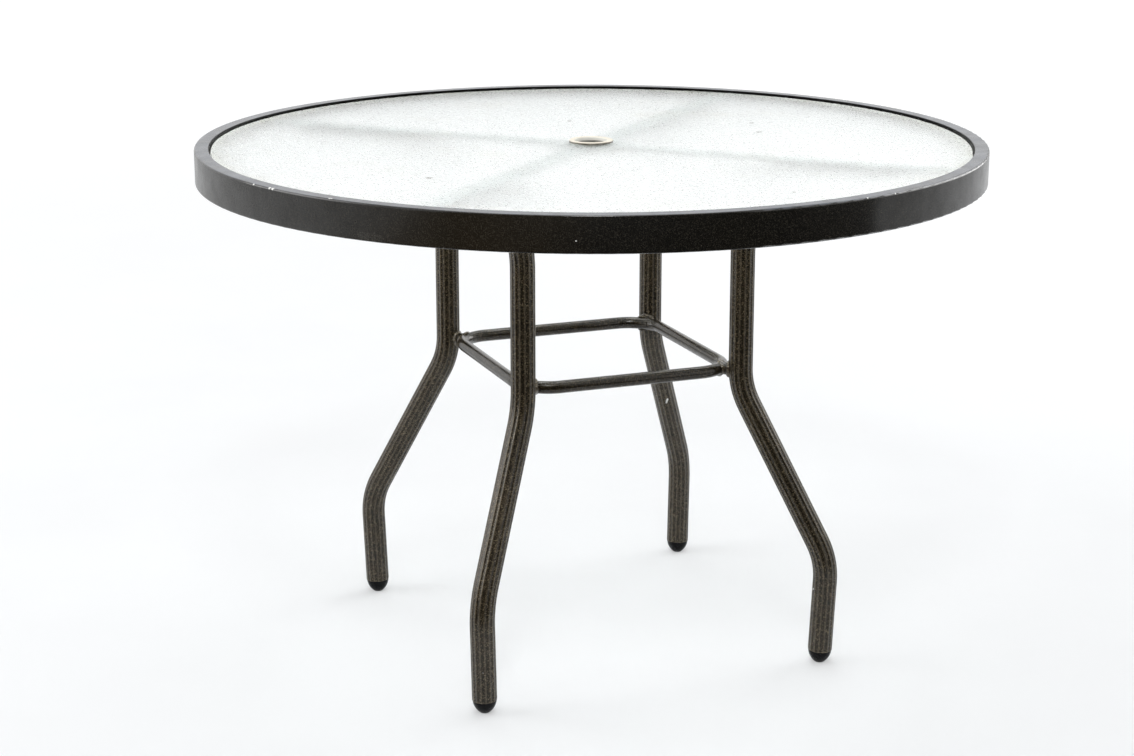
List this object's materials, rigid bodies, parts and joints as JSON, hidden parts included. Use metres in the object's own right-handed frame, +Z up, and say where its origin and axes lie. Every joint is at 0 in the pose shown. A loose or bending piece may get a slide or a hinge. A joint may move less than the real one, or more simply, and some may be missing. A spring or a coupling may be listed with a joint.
{
  "type": "patio umbrella table",
  "caption": "Round patio table with a recessed pebbled glass pane, a central umbrella grommet, and bent fluted tube legs tied by a rounded-square brace ring.",
  "frame": {"origin": "on the floor under the middle of the top", "axes": "+Z up; the legs stand on the diagonals, with front left at -X -Y, front right at +X -Y, rear right at +X +Y and rear left at -X +Y"},
  "size_m": [1.067, 1.067, 0.702],
  "materials": {
    "frame_coat": "satin speckled powder coat",
    "leg_coat": "satin speckled powder coat",
    "brace_coat": "gloss powder coat",
    "pane_glass": "pebbled",
    "clear_vinyl": "matte",
    "grommet_plastic": "semi-gloss",
    "glide_plastic": "gloss",
    "bolt_steel": "zinc plated"
  },
  "bodies": {
    "frame": {"rim_ring": "frame_coat", "glazing_strip": "clear_vinyl", "pane_bumpers": "clear_vinyl", "hub_ring": "frame_coat", "front_left_crossbar": "frame_coat", "front_right_crossbar": "frame_coat", "rear_right_crossbar": "frame_coat", "rear_left_crossbar": "frame_coat", "front_left_leg": "leg_coat", "front_right_leg": "leg_coat", "rear_right_leg": "leg_coat", "rear_left_leg": "leg_coat", "brace_ring": "brace_coat", "front_left_stub": "brace_coat", "front_right_stub": "brace_coat", "rear_right_stub": "brace_coat", "rear_left_stub": "brace_coat", "front_left_glide": "glide_plastic", "front_right_glide": "glide_plastic", "rear_right_glide": "glide_plastic", "rear_left_glide": "glide_plastic", "front_left_plug": "glide_plastic", "front_right_plug": "glide_plastic", "rear_right_plug": "glide_plastic", "rear_left_plug": "glide_plastic", "leg_bolts": "bolt_steel", "saddle_washers": "bolt_steel"},
    "glass_top": {"glass_pane": "pane_glass"},
    "grommet": {"umbrella_grommet": "grommet_plastic"}
  },
  "joints": [
    {"name": "glass_lift", "type": "slide", "parent": "frame", "child": "glass_top", "axis": [0, 0, 1], "range_m": [0, 0.06]},
    {"name": "grommet_lift", "type": "slide", "parent": "glass_top", "child": "grommet", "axis": [0, 0, 1], "range_m": [0, 0.04]}
  ]
}
